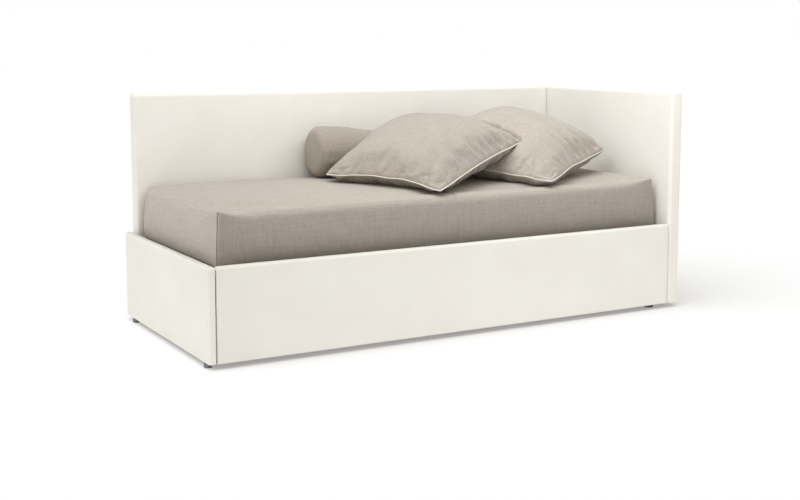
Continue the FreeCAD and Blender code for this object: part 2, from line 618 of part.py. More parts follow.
# The front cushion lies on the corner cushion, so its underside and its way up stay clear
front_clear = cushion(FRONT_CUSHION_SIDE + 2 * SOFT_GAP, front_place, FRONT_CUSHION_TURN)
front_clear.translate(UP * -SOFT_GAP)
seam_half = FRONT_CUSHION_SIDE / 2 + CUSHION_LIFT_ROOM
drop = -CUSHION_LIFT_DROP
seam_corners = [Vec(-seam_half, -seam_half, drop), Vec(seam_half, -seam_half, drop), Vec(seam_half, seam_half, drop),
                Vec(-seam_half, seam_half, drop)]
seam = Part.Face(Part.makePolygon(seam_corners + seam_corners[:1]))
lift_clear = laid(seam, front_place, FRONT_CUSHION_TURN).extrude(UP * CUSHION_LIFT)
corner_cushion = cushion(CORNER_CUSHION_SIDE, corner_place, CORNER_CUSHION_TURN)
corner_cushion = corner_cushion.cut(under_cushions).cut(bolster_clear).cut(front_clear).cut(lift_clear)
export("corner_cushion", corner_cushion)
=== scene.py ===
import math
import random

import bmesh
import bpy
from mathutils import Euler, Matrix, Vector, noise
from mathutils.bvhtree import BVHTree


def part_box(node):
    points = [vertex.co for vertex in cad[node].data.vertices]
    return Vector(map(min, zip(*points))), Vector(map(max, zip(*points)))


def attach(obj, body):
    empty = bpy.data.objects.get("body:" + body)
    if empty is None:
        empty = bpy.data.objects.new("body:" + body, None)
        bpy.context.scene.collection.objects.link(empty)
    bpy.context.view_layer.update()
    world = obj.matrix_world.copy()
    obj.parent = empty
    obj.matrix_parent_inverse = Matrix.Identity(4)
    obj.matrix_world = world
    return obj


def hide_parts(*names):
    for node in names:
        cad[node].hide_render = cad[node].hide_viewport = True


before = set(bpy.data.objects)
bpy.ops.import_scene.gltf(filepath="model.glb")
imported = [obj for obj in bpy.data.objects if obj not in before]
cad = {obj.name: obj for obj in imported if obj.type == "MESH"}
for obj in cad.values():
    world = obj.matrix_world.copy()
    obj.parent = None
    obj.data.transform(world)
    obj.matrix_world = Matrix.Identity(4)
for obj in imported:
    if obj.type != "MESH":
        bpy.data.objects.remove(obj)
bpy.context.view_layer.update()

# Board cores
# Each panel is built on a raw chipboard core, sawn square. It only shows from
# below, at the open end of its sleeve, as pressed brown chips.


def plain_material(name, roughness):
    """A new material with its shader, ready for more nodes."""
    material = bpy.data.materials.new(name)
    material.use_nodes = True
    shader = material.node_tree.nodes["Principled BSDF"]
    shader.inputs["Roughness"].default_value = roughness
    return material, material.node_tree.nodes, material.node_tree.links, shader


def noise_over(nodes, links, stretch, detail=2.0, roughness=0.5):
    """Noise laid over a piece in its own coordinates, so many waves to a metre along X, Y and Z."""
    place = nodes.new("ShaderNodeTexCoord")
    scale = nodes.new("ShaderNodeMapping")
    scale.inputs["Scale"].default_value = stretch
    texture = nodes.new("ShaderNodeTexNoise")
    texture.inputs["Scale"].default_value = 1.0
    texture.inputs["Detail"].default_value = detail
    texture.inputs["Roughness"].default_value = roughness
    links.new(place.outputs["Object"], scale.inputs["Vector"])
    links.new(scale.outputs["Vector"], texture.inputs["Vector"])
    return texture.outputs["Fac"]


def two_tones(nodes, links, factor, dark, light, low=0.3, high=0.7):
    """Colour that runs from a dark to a light tone with a texture."""
    ramp = nodes.new("ShaderNodeValToRGB")
    ramp.color_ramp.elements[0].position = low
    ramp.color_ramp.elements[0].color = (*dark, 1)
    ramp.color_ramp.elements[1].position = high
    ramp.color_ramp.elements[1].color = (*light, 1)
    links.new(factor, ramp.inputs["Fac"])
    return ramp.outputs["Color"]


def raised(nodes, links, shader, height, depth, strength):
    """Adds a fine relief, in metres, on top of any that the shader already has."""
    bump = nodes.new("ShaderNodeBump")
    bump.inputs["Distance"].default_value = depth
    bump.inputs["Strength"].default_value = strength
    links.new(height, bump.inputs["Height"])
    if shader.inputs["Normal"].is_linked:
        links.new(shader.inputs["Normal"].links[0].from_socket, bump.inputs["Normal"])
    links.new(bump.outputs["Normal"], shader.inputs["Normal"])


def mottled(name, roughness, stretch, detail, tones, depth, strength):
    """A material with one noise in its colour, between two tones, and in its relief."""
    material, nodes, links, shader = plain_material(name, roughness)
    fleck = noise_over(nodes, links, stretch, detail)
    links.new(two_tones(nodes, links, fleck, *tones), shader.inputs["Base Color"])
    raised(nodes, links, shader, fleck, depth, strength)
    return material


def finish_nodes(material, *names):
    """Gives the solids that show as they are their finish."""
    for name in names:
        mesh = cad[name].data
        mesh.materials.clear()
        mesh.materials.append(material)


chipboard = mottled("chipboard", roughness=0.85, stretch=(180, 180, 180), detail=3.0,
                    tones=((0.26, 0.16, 0.08), (0.62, 0.46, 0.29)), depth=0.0006, strength=0.5)
finish_nodes(chipboard, "foot_panel_board", "headboard_board", "back_panel_board", "front_panel_board")

# Foam sheets
# A thin sheet of cream upholstery foam is glued to both faces of each board.
# It is open-celled, so it looks dull and slightly pitted where it shows below.
foam = mottled("upholstery_foam", roughness=0.95, stretch=(420, 420, 420), detail=1.0,
               tones=((0.70, 0.62, 0.42), (0.88, 0.82, 0.64)), depth=0.0005, strength=0.6)
finish_nodes(foam, "foot_panel_padding", "headboard_padding", "back_panel_padding", "front_panel_padding")

# Leatherette sleeves
# Each panel wears a sleeve of matte ivory leatherette on wadding, sewn to size and pulled down over the
# board. Its rims are round and pucker a little, surfaces that face up are darkened as painted shade, and
# its hem turns in below.
THIN_RIM = 0.011
THICK_RIM = 0.016
FLAP_RIM = 0.0035
BUTTED_RIM = 0.004
# Painted shade: the colour of up-facing leatherette is scaled down by these.
TALL_TOP_PAINTED_SHADE = 0.90
LOW_TOP_PAINTED_SHADE = 0.75
SLEEVE_HEM = 0.0045
HEM_RISE = 0.0006
SLEEVE_PITCH = 0.028
RIM_PUCKER = 0.0008
PUCKER_WAVES = 31
PUCKER_SINK = 0.35
PUCKER_FADE = 0.028
FACE_SWELL = 0.0014
FLAP_SWELL = 0.0005
SWELL_WAVES = 3.1
SWELL_SINK = 0.4
SWELL_FADE = 0.05


def rows(low, high, pitch, near, extra=()):
    """Levels for rows of vertices: close together by both ends, then about a pitch apart."""
    ends = [near * share for share in (0.0, 0.1, 0.3, 0.55, 0.8, 1.05, 1.5)]
    closest = pitch * 0.12
    count = max(1, round((high - low - 2 * ends[-1]) / pitch))
    step = (high - low - 2 * ends[-1]) / count
    levels = [low + e for e in ends] + [low + ends[-1] + step * k for k in range(1, count)]
    levels += [high - e for e in reversed(ends)]
    levels = [v for v in levels if all(abs(v - e) > closest for e in extra)]
    return sorted(levels + list(extra))


def box_skin(xs, ys, zs, bottom=True):
    """Quads over the faces of a box, with rows of vertices at the given levels."""
    shell = bmesh.new()
    made = {}

    def corner(*at):
        if at not in made:
            made[at] = shell.verts.new((xs[at[0]], ys[at[1]], zs[at[2]]))
        return made[at]

    def quad(*corners):
        shell.faces.new([corner(*at) for at in corners])

    a, b, c = len(xs) - 1, len(ys) - 1, len(zs) - 1
    for k in ((0, c) if bottom else (c,)):
        for i in range(a):
            for j in range(b):
                quad((i, j, k), (i + 1, j, k), (i + 1, j + 1, k), (i, j + 1, k))
    for k in range(c):
        for j in (0, b):
            for i in range(a):
                quad((i, j, k), (i + 1, j, k), (i + 1, j, k + 1), (i, j, k + 1))
        for i in (0, a):
            for j in range(b):
                quad((i, j, k), (i, j + 1, k), (i, j + 1, k + 1), (i, j, k + 1))
    bmesh.ops.recalc_face_normals(shell, faces=shell.faces)
    return shell


def smooth(value, low, high):
    """Rises from 0 to 1 between two values."""
    t = min(max((value - low) / (high - low), 0.0), 1.0)
    return t * t * (3 - 2 * t)


def onto_round(point, low, high, radius):
    """Moves a point of a box to the same box with round edges, and gives its direction outwards."""
    core = Vector([min(max(p, l + radius), h - radius) for p, l, h in zip(point, low, high)])
    outward = (point - core).normalized()
    return core + outward * radius, outward


def as_object(name, shell, materials, level=1):
    """Turns an edited mesh into a smooth object, finely divided."""
    mesh = bpy.data.meshes.new(name)
    shell.to_mesh(mesh)
    shell.free()
    for material in materials:
        mesh.materials.append(material)
    for face in mesh.polygons:
        face.use_smooth = True
    piece = bpy.data.objects.new(name, mesh)
    bpy.context.scene.collection.objects.link(piece)
    if level:
        fine = piece.modifiers.new("fine", "SUBSURF")
        fine.levels = fine.render_levels = level
    return piece


def painted_light_by_facing(nodes, links, colour, axis, gain):
    """Scales a colour by up to a gain where the surface faces along an axis, painting light and shade by
    facing.
    """
    facing = nodes.new("ShaderNodeSeparateXYZ")
    links.new(nodes.new("ShaderNodeNewGeometry").outputs["Normal"], facing.inputs[0])
    amount = nodes.new("ShaderNodeMath")
    amount.operation = "ABSOLUTE"
    links.new(facing.outputs[axis], amount.inputs[0])
    share = nodes.new("ShaderNodeMapRange")
    for socket, value in zip(("From Min", "From Max", "To Min", "To Max"), (0.35, 0.95, 1.0, gain)):
        share.inputs[socket].default_value = value
    links.new(amount.outputs[0], share.inputs["Value"])
    scaled = nodes.new("ShaderNodeVectorMath")
    scaled.operation = "SCALE"
    links.new(colour, scaled.inputs[0])
    links.new(share.outputs["Result"], scaled.inputs["Scale"])
    return scaled.outputs[0]


def ivory_leatherette(name, top_painted_shade):
    """Matte ivory leatherette with a fine pressed grain, its colour darkened where it faces up as painted
    shade.
    """
    material, nodes, links, shader = plain_material(name, 0.58)
    shader.inputs["Specular IOR Level"].default_value = 0.15
    cloud = noise_over(nodes, links, (5, 5, 5), 3.0)
    tone = two_tones(nodes, links, cloud, (0.748, 0.722, 0.664), (0.781, 0.756, 0.704))
    # Painted shade: the colour is darkened where the surface faces up.
    links.new(painted_light_by_facing(nodes, links, tone, "Z", top_painted_shade), shader.inputs["Base Color"])
    grain = nodes.new("ShaderNodeTexVoronoi")
    grain.feature = "SMOOTH_F1"
    grain.inputs["Scale"].default_value = 620.0
    grain_place = nodes.new("ShaderNodeTexCoord")
    links.new(grain_place.outputs["Object"], grain.inputs["Vector"])
    raised(nodes, links, shader, grain.outputs["Distance"], 0.00035, 0.35)
    raised(nodes, links, shader, noise_over(nodes, links, (55, 55, 55), 2.0), 0.0006, 0.25)
    return material


def sleeve(name, node, body, skin, rim, seed, swell=FACE_SWELL, butted=(), fullness=0.0, corner=1.0):
    """A sleeve in a cover's place, with round rims that pucker and a turned-in hem. An end that is butted
    to a neighbour is fuller and has a tight rim, but its top corner keeps a share of the roundness."""
    low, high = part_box(node)
    thin_axis = 0 if high.x - low.x < high.y - low.y else 1
    long_axis = 1 - thin_axis
    if "low" in butted:
        low[long_axis] -= fullness
    if "high" in butted:
        high[long_axis] += fullness
    middle = (low + high) / 2
    shell = box_skin(*[rows(l, h, SLEEVE_PITCH, rim) for l, h in zip(low, high)], bottom=False)
    open_low = low - Vector((0, 0, 3 * rim))
    for v in shell.verts:
        at = v.co.copy()
        radius = rim
        if ("low" if at[long_axis] < middle[long_axis] else "high") in butted:
            from_end = min(at[long_axis] - low[long_axis], high[long_axis] - at[long_axis])
            free = smooth(from_end, rim, 3 * rim)
            free = max(free, corner * smooth(at.z, high.z - 3 * rim, high.z - rim))
            radius = BUTTED_RIM + (rim - BUTTED_RIM) * free
        spot, outward = onto_round(at, open_low, high, radius)
        from_rim = min(high.z - at.z, at[long_axis] - low[long_axis], high[long_axis] - at[long_axis])
        pucker = noise.noise(at * PUCKER_WAVES + Vector((seed, 0, 0))) - PUCKER_SINK
        dent = RIM_PUCKER * pucker * math.exp(-max(from_rim, 0) / PUCKER_FADE)
        crown = 1 - math.exp(-max(from_rim, 0) / SWELL_FADE)
        broad = swell * crown * noise.noise(at * SWELL_WAVES + Vector((0, seed, 0)))
        v.co = spot + outward * (dent + broad - swell * SWELL_SINK)
    hem = [edge for edge in shell.edges if edge.is_boundary]
    turned = bmesh.ops.extrude_edge_only(shell, edges=hem)["geom"]
    for v in turned:
        if isinstance(v, bmesh.types.BMVert):
            for axis in (0, 1):
                v.co[axis] -= math.copysign(SLEEVE_HEM, v.co[axis] - middle[axis])
            v.co.z += HEM_RISE
    bmesh.ops.recalc_face_normals(shell, faces=shell.faces)
    piece = as_object(name, shell, [skin])
    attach(piece, body)
    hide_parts(node)


# Both leatherettes carry painted shade where they face up, the low panels' leatherette more.
tall_skin = ivory_leatherette("ivory_leatherette", TALL_TOP_PAINTED_SHADE)
low_skin = ivory_leatherette("ivory_leatherette_painted_shade", LOW_TOP_PAINTED_SHADE)
sleeve("foot_panel_sleeve", "foot_panel_cover", "bed", low_skin, THIN_RIM, 1.7)
sleeve("headboard_sleeve", "headboard_cover", "bed", tall_skin, THICK_RIM, 4.3)
sleeve("back_panel_sleeve", "back_panel_cover", "bed", tall_skin, THICK_RIM, 7.9,
       butted=("high",), fullness=0.0012, corner=0.75)
sleeve("front_panel_sleeve", "front_panel_cover", "trundle", low_skin, THIN_RIM, 11.2,
       butted=("low", "high"), fullness=0.0033)
sleeve("headboard_closing_flap", "headboard_flap", "bed", tall_skin, FLAP_RIM, 15.6, swell=FLAP_SWELL)

# Frames, legs and brackets
# Both beds stand on frames of rectangular steel tube, powder coated in grey. Bent
# angles bolt the panels to the rails, and two tube legs carry the head end.
coated_steel, nodes, links, shader = plain_material("grey_powder_coat", 0.42)
shader.inputs["Metallic"].default_value = 0.2
patches = noise_over(nodes, links, (9, 9, 9), 4.0)
links.new(two_tones(nodes, links, patches, (0.10, 0.10, 0.105), (0.135, 0.135, 0.14)),
          shader.inputs["Base Color"])
raised(nodes, links, shader, noise_over(nodes, links, (700, 700, 700), 1.0), 0.0002, 0.3)
finish_nodes(coated_steel, "main_front_rail", "main_back_rail", "main_foot_rail", "main_head_rail",
             "main_cross_rails", "trundle_front_rail", "trundle_back_rail", "trundle_foot_rail",
             "trundle_head_rail", "trundle_cross_rails", "head_legs", "foot_brackets", "head_brackets",
             "back_brackets", "front_panel_brackets", "corner_brackets")

# Slats
# Thirteen sprung beech slats cross each frame, laminated, bowed and lacquered.
# Their grain runs along the slat, and holders on the rails grip both ends.
beech, nodes, links, shader = plain_material("lacquered_beech", 0.38)
shader.inputs["Coat Weight"].default_value = 0.15
shader.inputs["Coat Roughness"].default_value = 0.25
fibre = noise_over(nodes, links, (130, 5, 130), 4.0, 0.6)
links.new(two_tones(nodes, links, fibre, (0.50, 0.31, 0.16), (0.72, 0.52, 0.32), 0.25, 0.75),
          shader.inputs["Base Color"])
raised(nodes, links, shader, noise_over(nodes, links, (900, 24, 900), 2.0), 0.0002, 0.3)
finish_nodes(beech, "main_slats", "trundle_slats")

# Plastic fittings
# Slat holders and rail plugs are moulded in finely textured black plastic, feet and glides in
# dark grey, which scuffs. Two rubber buffers stop the second bed at the back panel.
black_plastic = mottled("black_moulding", roughness=0.48, stretch=(1500, 1500, 1500), detail=1.0,
                        tones=((0.010, 0.010, 0.011), (0.022, 0.022, 0.023)), depth=0.0002, strength=0.4)
finish_nodes(black_plastic, "main_front_slat_holders", "main_back_slat_holders", "main_rail_caps",
             "trundle_front_slat_holders", "trundle_back_slat_holders", "trundle_rail_caps")
glide_plastic = mottled("scuffed_glide", roughness=0.6, stretch=(260, 260, 90), detail=3.0,
                        tones=((0.120, 0.119, 0.116), (0.210, 0.208, 0.202)), depth=0.0002, strength=0.3)
finish_nodes(glide_plastic, "leg_glides", "foot_panel_feet")
black_rubber = mottled("buffer_rubber", roughness=0.8, stretch=(240, 240, 240), detail=3.0,
                       tones=((0.012, 0.012, 0.012), (0.035, 0.034, 0.032)), depth=0.0002, strength=0.3)
finish_nodes(black_rubber, "trundle_buffers")

# Casters
# The second bed rolls on four fixed casters: a bent zinc-plated fork, a steel axle
# pin and a moulded grey nylon wheel with a dished hub and a rounded tread.
WHEEL_RADIUS = 0.025
AXLE_RADIUS = 0.00408
WHEEL_OUTLINE = ((AXLE_RADIUS, 0.0088), (0.0085, 0.0088), (0.0092, 0.0080), (0.0105, 0.0055),
                 (0.0180, 0.0055), (0.0195, 0.0078), (0.0210, 0.0086), (0.0232, 0.0084),
                 (0.0246, 0.0070), (WHEEL_RADIUS, 0.0040))
WHEEL_TURNS = 48

zinc = mottled("zinc_plate", roughness=0.36, stretch=(160, 160, 160), detail=3.0,
               tones=((0.46, 0.47, 0.47), (0.62, 0.62, 0.61)), depth=0.0001, strength=0.3)
zinc.node_tree.nodes["Principled BSDF"].inputs["Metallic"].default_value = 1.0
finish_nodes(zinc, "caster_forks", "caster_axles")
nylon = mottled("grey_nylon", roughness=0.5, stretch=(300, 300, 300), detail=2.0,
                tones=((0.035, 0.035, 0.038), (0.055, 0.055, 0.058)), depth=0.0002, strength=0.25)
one_side = [(r, -w) for r, w in WHEEL_OUTLINE]
outline = one_side + [(r, -w) for r, w in reversed(one_side)]
for row in ("front", "back"):
    for column in ("foot", "head"):
        node = "wheel_" + row + "_" + column
        low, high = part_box(node)
        hub = (low + high) / 2
        shell = bmesh.new()
        rims = []
        for k in range(WHEEL_TURNS):
            a = 2 * math.pi * k / WHEEL_TURNS
            rims.append([shell.verts.new(hub + Vector((w, r * math.cos(a), r * math.sin(a))))
                         for r, w in outline])
        for k in range(WHEEL_TURNS):
            here, there = rims[k], rims[(k + 1) % WHEEL_TURNS]
            for i in range(len(outline)):
                j = (i + 1) % len(outline)
                shell.faces.new([here[i], here[j], there[j], there[i]])
        bmesh.ops.recalc_face_normals(shell, faces=shell.faces)
        tyre = as_object(node + "_moulding", shell, [nylon], level=0)
        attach(tyre, node)
        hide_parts(node)

# Upper mattress
# A foam mattress in a fitted cover of taupe slub linen, sewn from two lengths joined across the
# middle and boxed at the front corners, where it stands up in small ears above its soft edges.
MATTRESS_PITCH = 0.024
WALL_PITCH = 0.020
EDGE_ROWS = 0.036
EDGE_ROLL = 0.044
FRONT_ROLL = 0.027
ROLL_MITRE = (-0.02, 0.02)
EAR_ROLL = 0.008
BACK_ROLL = 0.030
BASE_ROLL = 0.012
BASE_REACH = (0.03, 0.11)
CORNER_REACH = (0.015, 0.150)
FRONT_SLOPE = 0.17
FRONT_DROP = (0.026, 0.020)
FOOT_EAR = (-0.01, 0.12)
HEAD_EAR = (-0.10, 0.22)
PLUMP = 0.014
MATTRESS_CROWN = 0.009
CROWN_REACH = 0.06
CORNER_DROOP = 0.012
DROOP_REACH = 0.13
BACK_FIRMNESS = 0.65
FIRM_FROM = (0.1, 0.3)
SIDE_BULGE = 0.010
SIDE_DRAW = SIDE_BULGE * 0.4
FRONT_BULGE = SIDE_BULGE * 0.8
FOOT_BULGE = SIDE_BULGE * 1.1
HEAD_BULGE = SIDE_BULGE * 0.6
BULGE_REACH = (0.0, 0.12)
BACK_CORNER_BULGE = 0.6
BELLY_POWER = 0.8
FOOT_DRAW = (0.016, 0.015)
HEAD_DRAW = -0.002
HEAD_SLANT = 0.016
FOOT_SLANT = 0.4 * HEAD_SLANT
SLANT_HEIGHT = 0.16
SLANT_REACH = 0.3
BOLSTER_SEAT = 0.006
SEAT_BACK, SEAT_END = (0.10, 0.20), (0.20, 0.30)
BOLSTER_CLEAR = 0.0045
SLIDE_BACK, SLIDE_FOOT = (0.12, 0.18), (-0.98, -0.93)
SLIDING_ROOM = 0.05
LOADED_FOOT, LOADED_HEAD, LOADED_FRONT = (-0.46, -0.32), (0.86, 0.96), (-0.41, -0.30)
LOADED_ROOM = 0.04
BROAD_WAVE, BROAD_WAVES = 0.0028, 4.3
SMALL_WAVE, SMALL_WAVES = 0.0011, 13
WAVE_SINK = 0.0008
SEAM_SHIFT = 0.007
SEAM_ROWS = (-0.016, -0.009, -0.004, 0.0, 0.004, 0.009, 0.016)
SEAM_DEPTH, SEAM_WIDTH = 0.0058, 0.0045
RIDGE_RISE, RIDGE_WIDTH, RIDGE_OFF = 0.0012, 0.014, 0.02
CORNER_SEAM = 0.0090
ON_EDGE = 1e-4


def slub_linen(name, dark, light, end_painted_light, side_painted_shade):
    """Linen with thick and thin yarns both ways and a fine plain weave, painted lighter where it faces
    along X and darker where it faces along Y, as painted light and shade.
    """
    material, nodes, links, shader = plain_material(name, 0.88)
    shader.inputs["Specular IOR Level"].default_value = 0.1
    shader.inputs["Sheen Weight"].default_value = 0.15
    shader.inputs["Sheen Roughness"].default_value = 0.45
    total = None
    for stretch, weight in (((9, 230, 230), 0.31), ((230, 9, 230), 0.31), ((260, 260, 11), 0.38)):
        yarn = nodes.new("ShaderNodeMath")
        yarn.operation = "MULTIPLY_ADD"
        links.new(noise_over(nodes, links, stretch, 3.0, 0.65), yarn.inputs[0])
        yarn.inputs[1].default_value = weight
        yarn.inputs[2].default_value = 0.0
        if total:
            links.new(total, yarn.inputs[2])
        total = yarn.outputs[0]
    tone = two_tones(nodes, links, total, dark, light, 0.33, 0.67)
    # Painted light and shade: faces along X are lightened by the first gain, faces along Y darkened by the
    # second.
    tone = painted_light_by_facing(nodes, links, tone, "X", end_painted_light)
    links.new(painted_light_by_facing(nodes, links, tone, "Y", side_painted_shade), shader.inputs["Base Color"])
    place = nodes.new("ShaderNodeTexCoord")
    for way in ("X", "Y", "Z"):
        weave = nodes.new("ShaderNodeTexWave")
        weave.bands_direction = way
        weave.inputs["Scale"].default_value = 190.0
        weave.inputs["Distortion"].default_value = 1.5
        weave.inputs["Detail Scale"].default_value = 60.0
        links.new(place.outputs["Object"], weave.inputs["Vector"])
        raised(nodes, links, shader, weave.outputs["Fac"], 0.0003, 0.25)
    raised(nodes, links, shader, total, 0.0012, 0.35)
    return material


# The mattress linen is painted lighter on its ends and darker on its front and back, as painted light and
# shade.
taupe_linen = slub_linen("taupe_slub_linen", dark=(0.302, 0.265, 0.220), light=(0.442, 0.400, 0.348),
                         end_painted_light=1.18, side_painted_shade=0.88)
bed_low, bed_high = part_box("main_mattress")


def front_drop(x, y):
    """How far the top of the mattress slopes down to its front edge, between the ears at its ends."""
    along = (x - bed_low.x) / (bed_high.x - bed_low.x)
    drop = FRONT_DROP[0] + (FRONT_DROP[1] - FRONT_DROP[0]) * along
    from_ears = smooth(x - bed_low.x, *FOOT_EAR) * smooth(bed_high.x - x, *HEAD_EAR)
    return drop * (1 - smooth(y - bed_low.y, 0.0, FRONT_SLOPE)) * from_ears


def pressed_top(x, y):
    """The level to which the cushions and the bolster press the top of the mattress."""
    across = min(abs(2 * (y - bed_low.y) / (bed_high.y - bed_low.y) - 1), 1)
    seat = BOLSTER_SEAT * smooth(y, *SEAT_BACK) * (1 - smooth(x, *SEAT_END))
    return bed_high.z - MATTRESS_CROWN * across * across + seat - front_drop(x, y)


bolster_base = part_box("bolster")[0].z + BOLSTER_SEAT + BOLSTER_CLEAR


def under_bolster(x, y):
    """The level that the mattress keeps below along the back panel, where the bolster slides."""
    path = smooth(y, *SLIDE_BACK) * smooth(x, *SLIDE_FOOT)
    return bolster_base + SLIDING_ROOM * (1 - path)


seam_x = (bed_low.x + bed_high.x) / 2 + SEAM_SHIFT
seam_rows = [seam_x + off for off in SEAM_ROWS]
shell = box_skin(rows(bed_low.x, bed_high.x, MATTRESS_PITCH, EDGE_ROWS, seam_rows),
                 rows(bed_low.y, bed_high.y, MATTRESS_PITCH, EDGE_ROWS),
                 rows(bed_low.z, bed_high.z, WALL_PITCH, EDGE_ROWS))
side_top = bed_high.z - MATTRESS_CROWN
box_high = Vector((bed_high.x - HEAD_DRAW, bed_high.y - SIDE_DRAW, side_top + PLUMP))
for v in shell.verts:
    share = Vector([(p - l) / (h - l) for p, l, h in zip(v.co, bed_low, bed_high)])
    foot_draw = FOOT_DRAW[0] + (FOOT_DRAW[1] - FOOT_DRAW[0]) * share.y
    box_low = bed_low + Vector((foot_draw, SIDE_DRAW, 0))
    at = Vector([l + s * (h - l) for s, l, h in zip(share, box_low, box_high)])
    from_end = min(at.x - box_low.x, box_high.x - at.x)
    from_side = min(at.y - box_low.y, box_high.y - at.y)
    from_corner = max(from_end, from_side)
    tight = EAR_ROLL if at.y < 0 else BACK_ROLL
    edge = EDGE_ROLL
    if at.y < 0:
        edge += (FRONT_ROLL - EDGE_ROLL) * smooth(from_end - from_side, *ROLL_MITRE)
    roll = tight + (edge - tight) * smooth(from_corner, *CORNER_REACH)
    roll = BASE_ROLL + (roll - BASE_ROLL) * smooth(at.z, *[bed_low.z + rise for rise in BASE_REACH])
    spot, outward = onto_round(at, box_low, box_high, roll)
    spot.z -= front_drop(at.x, at.y) * (at.z - bed_low.z) / (box_high.z - bed_low.z)
    across = 2 * share.y - 1
    along = 2 * share.x - 1
    on_top = smooth(at.z, box_high.z - CROWN_REACH, box_high.z)
    spot.z += MATTRESS_CROWN * on_top * (1 - across * across) * (1 - along ** 6)
    droop = math.exp(-((from_end / DROOP_REACH) ** 2 + (from_side / DROOP_REACH) ** 2)) * on_top
    if at.x < seam_x:
        spot.z -= CORNER_DROOP * droop * (1 - BACK_FIRMNESS * smooth(at.y, *FIRM_FROM))
    loaded = smooth(at.x, *LOADED_FOOT) * (1 - smooth(at.x, *LOADED_HEAD)) * smooth(at.y, *LOADED_FRONT)
    spot.z = min(spot.z, pressed_top(at.x, at.y) + LOADED_ROOM * (1 - loaded))
    lean = smooth(at.z, box_high.z - SLANT_HEIGHT, box_high.z) * math.exp(-from_end / SLANT_REACH)
    spot.x -= math.copysign((HEAD_SLANT if spot.x > seam_x else FOOT_SLANT) * lean, spot.x - seam_x)
    height = min(max((at.z - bed_low.z) / (side_top - bed_low.z), 0), 1)
    belly = math.sin(math.pi * height) ** BELLY_POWER
    reach = smooth(from_corner, *BULGE_REACH)
    if from_end < ON_EDGE:
        full = max(reach, BACK_CORNER_BULGE * smooth(at.y, 0.0, bed_high.y))
        bulge = FOOT_BULGE if at.x < seam_x else HEAD_BULGE
        spot.x += math.copysign(bulge * belly * full, spot.x - seam_x)
    if from_side < ON_EDGE:
        spot.y += math.copysign(FRONT_BULGE * belly * reach, spot.y)
    wave = BROAD_WAVE * noise.noise(at * BROAD_WAVES)
    wave += SMALL_WAVE * noise.noise(at * SMALL_WAVES + Vector((3, 1, 7)))
    spot += outward * (wave - WAVE_SINK)
    off_seam = abs(at.x - seam_x)
    spot -= outward * SEAM_DEPTH * math.exp(-(off_seam / SEAM_WIDTH) ** 2)
    spot += outward * RIDGE_RISE * math.exp(-((off_seam - RIDGE_OFF) / RIDGE_WIDTH) ** 2)
    if from_end < ON_EDGE and from_side < ON_EDGE:
        spot -= outward * CORNER_SEAM
    spot.z = min(spot.z, under_bolster(spot.x, spot.y))
    v.co = spot
mattress = as_object("mattress_cover", shell, [taupe_linen])
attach(mattress, "bed")
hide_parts("main_mattress")

# Mattress of the second bed
# A thinner foam mattress in a natural quilted ticking, with cross channels sewn about
# a hand apart and a plain border, made to slide in under the upper frame.
QUILT_PITCH = 0.105
QUILT_DEPTH = 0.009
CHANNEL_WIDTH = 0.012
PLAIN_BORDER = (0.01, 0.04)
TICKING_PITCH = (0.0105, 0.03, 0.02)
TICKING_EDGE_ROWS = 0.02
TICKING_INSET = 0.003
TICKING_ROLL = 0.026
TICKING_CROWN = MATTRESS_CROWN - 0.002
TICKING_CROWN_REACH = 0.03
TICKING_WAVE, TICKING_WAVES = 0.0012, 9

ticking = mottled("natural_ticking", roughness=0.85, stretch=(420, 90, 420), detail=2.0,
                  tones=((0.53, 0.515, 0.48), (0.64, 0.625, 0.59)), depth=0.0006, strength=0.5)
ticking.node_tree.nodes["Principled BSDF"].inputs["Sheen Weight"].default_value = 0.15
low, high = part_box("trundle_mattress")
shell = box_skin(*[rows(l, h, pitch, TICKING_EDGE_ROWS) for l, h, pitch in zip(low, high, TICKING_PITCH)])
side_top = high.z - MATTRESS_CROWN
box_low = low + Vector((TICKING_INSET, TICKING_INSET, 0))
box_high = Vector((high.x - TICKING_INSET, high.y - TICKING_INSET, side_top))
for v in shell.verts:
    share = Vector([(p - l) / (h - l) for p, l, h in zip(v.co, low, high)])
    at = Vector([l + s * (h - l) for s, l, h in zip(share, box_low, box_high)])
    spot, outward = onto_round(at, box_low, box_high, TICKING_ROLL)
    across = 2 * share.y - 1
    on_top = smooth(at.z, side_top - TICKING_CROWN_REACH, side_top)
    spot.z += TICKING_CROWN * on_top * (1 - across * across)
    edge = min(at.x - box_low.x, box_high.x - at.x, at.y - box_low.y, box_high.y - at.y)
    channel = abs(((at.x - low.x) / QUILT_PITCH) % 1.0 - 0.5) * QUILT_PITCH
    spot.z -= QUILT_DEPTH * on_top * math.exp(-(channel / CHANNEL_WIDTH) ** 2) * smooth(edge, *PLAIN_BORDER)
    spot += outward * TICKING_WAVE * noise.noise(at * TICKING_WAVES)
    v.co = spot
second = as_object("second_mattress_cover", shell, [ticking])
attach(second, "trundle")
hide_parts("trundle_mattress")

# Bolster
# A round bolster of the same linen in a darker copy, as painted shade, filled with fibre and sewn to
# round ends that gather slightly. It lies along the back panel and is pressed flat where it rests.
BOLSTER_ROUND = 0.032
BOLSTER_RADIUS = 0.109
BOLSTER_FULLNESS = 0.985
BOLSTER_PRESS = 0.029
PRESS_REACH = (0.07, 0.36)
BOLSTER_INSET = 0.004
BOLSTER_OFF_BACK, BOLSTER_LIFT = 0.001, 0.002
FLAT_BELOW, FLAT_BEHIND = 0.0035, 0.0015
FLAT_WAVE, FLAT_WAVES = 0.0006, 3
END_DOME = 0.010
HUB_SINK = 0.001
END_RINGS = 7
ROUND_RINGS = 8
BODY_RINGS = 26
AROUND = 72
END_GATHERS = 15
GATHER_DEPTH = 0.010
GATHER_OFF, GATHER_REACH = 0.03, 0.05
GATHER_STRAY, STRAY_WAVES = 2, 9
BROAD_LUMP, BROAD_LUMPS = 0.020, 7
SMALL_LUMP, SMALL_LUMPS = 0.007, 24
